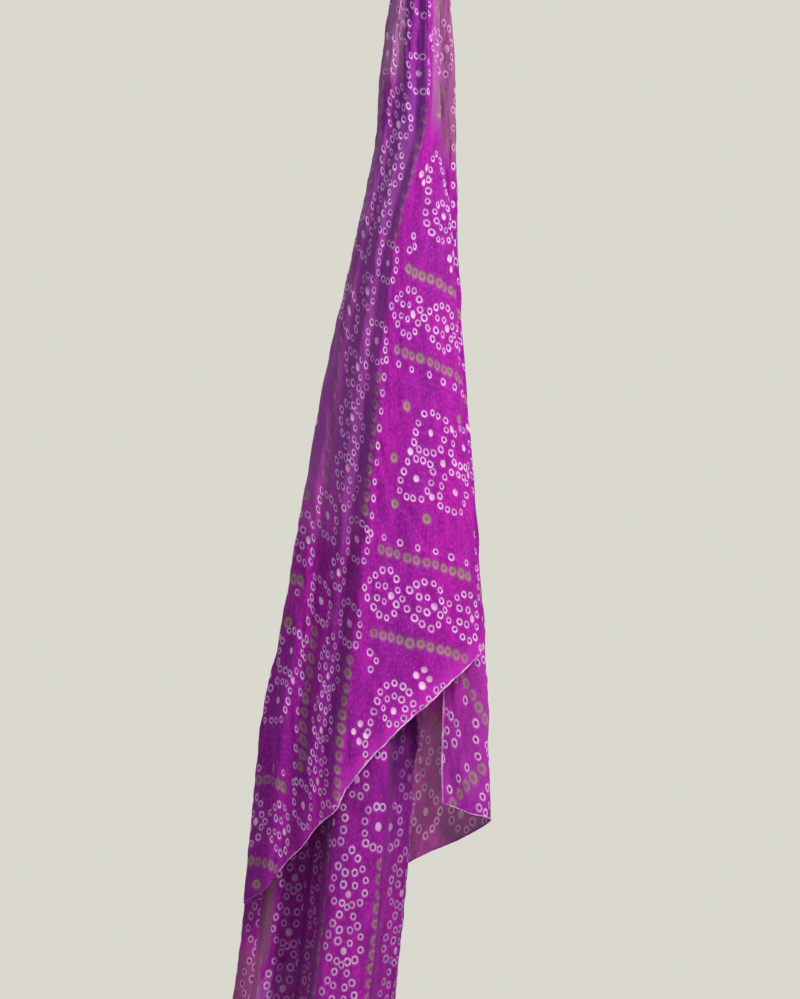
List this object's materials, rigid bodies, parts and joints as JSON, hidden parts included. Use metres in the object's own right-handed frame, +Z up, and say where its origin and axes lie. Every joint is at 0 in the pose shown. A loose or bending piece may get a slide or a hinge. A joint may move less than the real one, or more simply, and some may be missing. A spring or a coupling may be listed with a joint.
{
  "type": "dupatta stole on a wall rail",
  "caption": "Sheer tie-dyed stole slung over a short wall rail, with a slanting front hem, a longer pleated fall behind it and a flap at its right.",
  "frame": {"origin": "centre of the back of the rail's plate, where it lies on the wall", "axes": "+Z up, along the hanging cloth; +Y into the wall; +X to the right as seen from the front"},
  "size_m": [0.2696, 0.1271, 1.327],
  "materials": {
    "cloth": "sheer crinkled georgette, magenta purple with white and olive tie-dyed dots",
    "edging": "narrow rolled and overlocked edge in pale thread",
    "steel": "plain brushed steel"
  },
  "bodies": {
    "root": {"wall_plate": "steel", "rail": "steel", "over_rail": "cloth", "front_fall": "cloth", "side_flap": "cloth", "back_fall": "cloth"}
  },
  "joints": []
}
